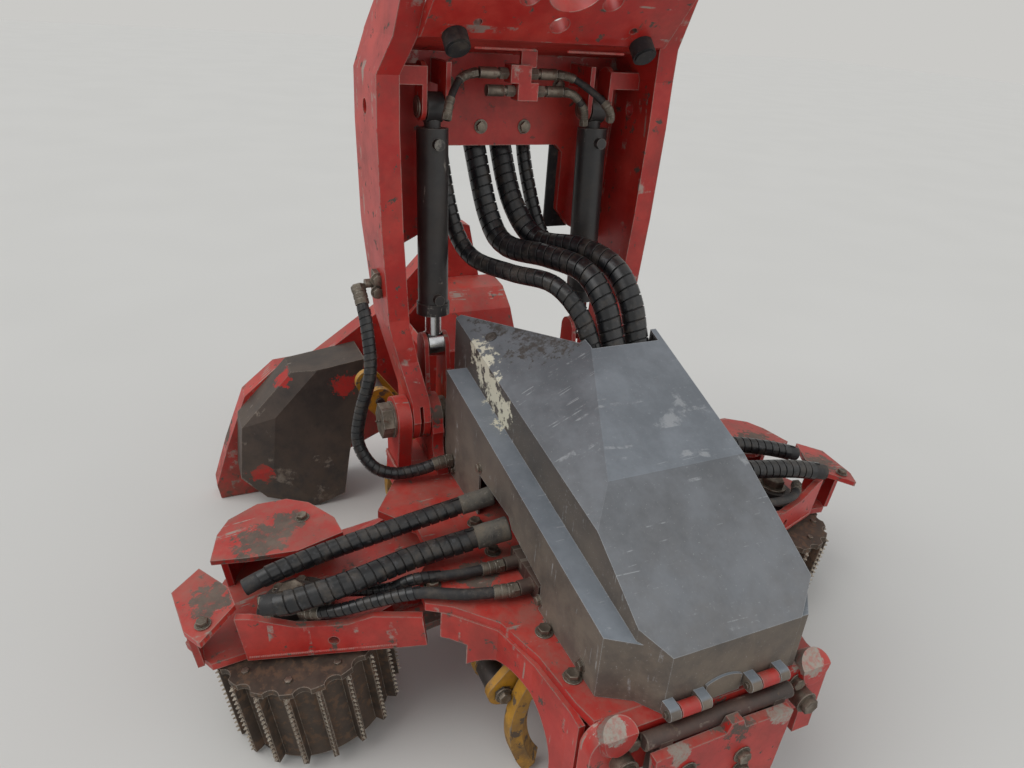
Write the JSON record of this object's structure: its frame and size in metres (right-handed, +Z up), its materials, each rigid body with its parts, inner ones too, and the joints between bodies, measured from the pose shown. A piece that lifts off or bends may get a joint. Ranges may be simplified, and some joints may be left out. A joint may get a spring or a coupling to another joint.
{
  "type": "harvester head",
  "caption": "Felling and delimbing head of a forest harvester, lying open: tilt link with cylinders, covered frame, roller arms, curved knives and saw box.",
  "frame": {"origin": "on the floor below the middle of the box", "axes": "+X towards the knife end, +Y to the right seen from the saw end, +Z up"},
  "size_m": [1.637, 1.809, 1.7131],
  "materials": {
    "red_paint": "worn gloss",
    "black_cover": "satin",
    "dark_steel": "worn satin",
    "rubber": "matte",
    "black_paint": "worn satin",
    "chrome": "polished",
    "roller_steel": "rough",
    "yellow_paint": "worn gloss",
    "saw_steel": "brushed",
    "pin_steel": "worn"
  },
  "bodies": {
    "frame": {"frame": "red_paint", "deck": "red_paint", "front_wall": "red_paint", "clevis_left": "red_paint", "clevis_right": "red_paint", "wing_left": "red_paint", "wing_right": "red_paint", "front_plate": "red_paint", "front_bar": "dark_steel", "lid_hinges": "red_paint", "lid_pins": "pin_steel", "rear_house": "red_paint", "saw_box": "red_paint", "saw_cowl": "dark_steel", "valve_block": "dark_steel", "pivot_pins": "pin_steel", "arm_pins": "pin_steel", "knife_pins": "pin_steel", "saw_motor": "pin_steel", "hoses_main": "rubber", "hose_loop": "rubber", "hoses_left": "rubber", "hoses_right": "rubber"},
    "link": {"link_left": "red_paint", "link_right": "red_paint", "link_back": "red_paint", "stops": "rubber", "top_pins": "pin_steel", "coupling_block": "red_paint", "couplings": "pin_steel", "link_valve": "pin_steel", "flap": "rubber", "hoses_link": "rubber"},
    "cover": {"cover": "black_cover", "cover_lugs": "black_cover"},
    "belly_roller": {"belly_roller": "roller_steel"},
    "saw_bar": {"saw_bar": "saw_steel"},
    "barrel_left": {"barrel_left": "black_paint"},
    "rod_left": {"rod_left": "chrome"},
    "arm_left": {"arm_left": "red_paint", "motor_left": "black_paint"},
    "roller_left": {"roller_left": "roller_steel"},
    "knife_front_left": {"knife_front_left": "yellow_paint", "eye_front_left": "black_paint"},
    "knife_rear_left": {"knife_rear_left": "yellow_paint", "eye_rear_left": "black_paint"},
    "barrel_right": {"barrel_right": "black_paint"},
    "rod_right": {"rod_right": "chrome"},
    "arm_right": {"arm_right": "red_paint", "motor_right": "black_paint"},
    "roller_right": {"roller_right": "roller_steel"},
    "knife_front_right": {"knife_front_right": "yellow_paint", "eye_front_right": "black_paint"},
    "knife_rear_right": {"knife_rear_right": "yellow_paint", "eye_rear_right": "black_paint"}
  },
  "joints": [
    {"name": "link_tilt", "type": "hinge", "parent": "frame", "child": "link", "pos_m": [-0.1905, 0, 0.529], "axis": [0, 1, 0], "range_deg": [0, 45], "deforming": ["hoses_main", "hose_loop"]},
    {"name": "cylinder_swing_left", "type": "hinge", "parent": "link", "child": "barrel_left", "pos_m": [-0.2905, -0.215, 1.285], "axis": [0, 1, 0], "range_deg": [0, 10]},
    {"name": "rod_slide_left", "type": "slide", "parent": "barrel_left", "child": "rod_left", "axis": [0.0652, 0, -0.9979], "range_m": [0, 0.1]},
    {"name": "arm_swing_left", "type": "hinge", "parent": "frame", "child": "arm_left", "pos_m": [0.1095, -0.3, 0.34], "axis": [1, 0, 0], "range_deg": [0, 50], "deforming": ["hoses_left"]},
    {"name": "roller_spin_left", "type": "hinge", "parent": "arm_left", "child": "roller_left", "pos_m": [0.1615, -0.66145, 0.2892], "axis": [0, -0.1392, 0.9903], "continuous": true},
    {"name": "front_knife_swing_left", "type": "hinge", "parent": "frame", "child": "knife_front_left", "pos_m": [0.5595, -0.205, 0.33], "axis": [1, 0, 0], "range_deg": [0, 35]},
    {"name": "rear_knife_swing_left", "type": "hinge", "parent": "frame", "child": "knife_rear_left", "pos_m": [-0.4155, -0.205, 0.33], "axis": [1, 0, 0], "range_deg": [0, 35]},
    {"name": "cylinder_swing_right", "type": "hinge", "parent": "link", "child": "barrel_right", "pos_m": [-0.2905, 0.215, 1.285], "axis": [0, 1, 0], "range_deg": [0, 10]},
    {"name": "rod_slide_right", "type": "slide", "parent": "barrel_right", "child": "rod_right", "axis": [0.0652, 0, -0.9979], "range_m": [0, 0.1]},
    {"name": "arm_swing_right", "type": "hinge", "parent": "frame", "child": "arm_right", "pos_m": [0.1095, 0.3, 0.34], "axis": [-1, 0, 0], "range_deg": [0, 50], "deforming": ["hoses_right"]},
    {"name": "roller_spin_right", "type": "hinge", "parent": "arm_right", "child": "roller_right", "pos_m": [0.1615, 0.66145, 0.2892], "axis": [0, 0.1392, 0.9903], "continuous": true},
    {"name": "front_knife_swing_right", "type": "hinge", "parent": "frame", "child": "knife_front_right", "pos_m": [0.5595, 0.205, 0.33], "axis": [-1, 0, 0], "range_deg": [0, 35]},
    {"name": "rear_knife_swing_right", "type": "hinge", "parent": "frame", "child": "knife_rear_right", "pos_m": [-0.4155, 0.205, 0.33], "axis": [-1, 0, 0], "range_deg": [0, 35]},
    {"name": "belly_roller_spin", "type": "hinge", "parent": "frame", "child": "belly_roller", "pos_m": [-0.0405, 0, 0.255], "axis": [0, 1, 0], "continuous": true},
    {"name": "cover_hinge", "type": "hinge", "parent": "frame", "child": "cover", "pos_m": [0.7775, 0, 0.428], "axis": [0, -1, 0], "range_deg": [-20, 0]},
    {"name": "saw_swing", "type": "hinge", "parent": "frame", "child": "saw_bar", "pos_m": [-0.7845, -0.08, 0.47], "axis": [1, 0, 0], "range_deg": [0, 95]}
  ],
  "couplings": [
    {"joint": "cylinder_swing_left", "follows": "link_tilt", "ratio": 0.20842},
    {"joint": "rod_slide_left", "follows": "link_tilt", "m_per_rad": 0.12333},
    {"joint": "cylinder_swing_right", "follows": "link_tilt", "ratio": 0.20842},
    {"joint": "rod_slide_right", "follows": "link_tilt", "m_per_rad": 0.12333}
  ]
}
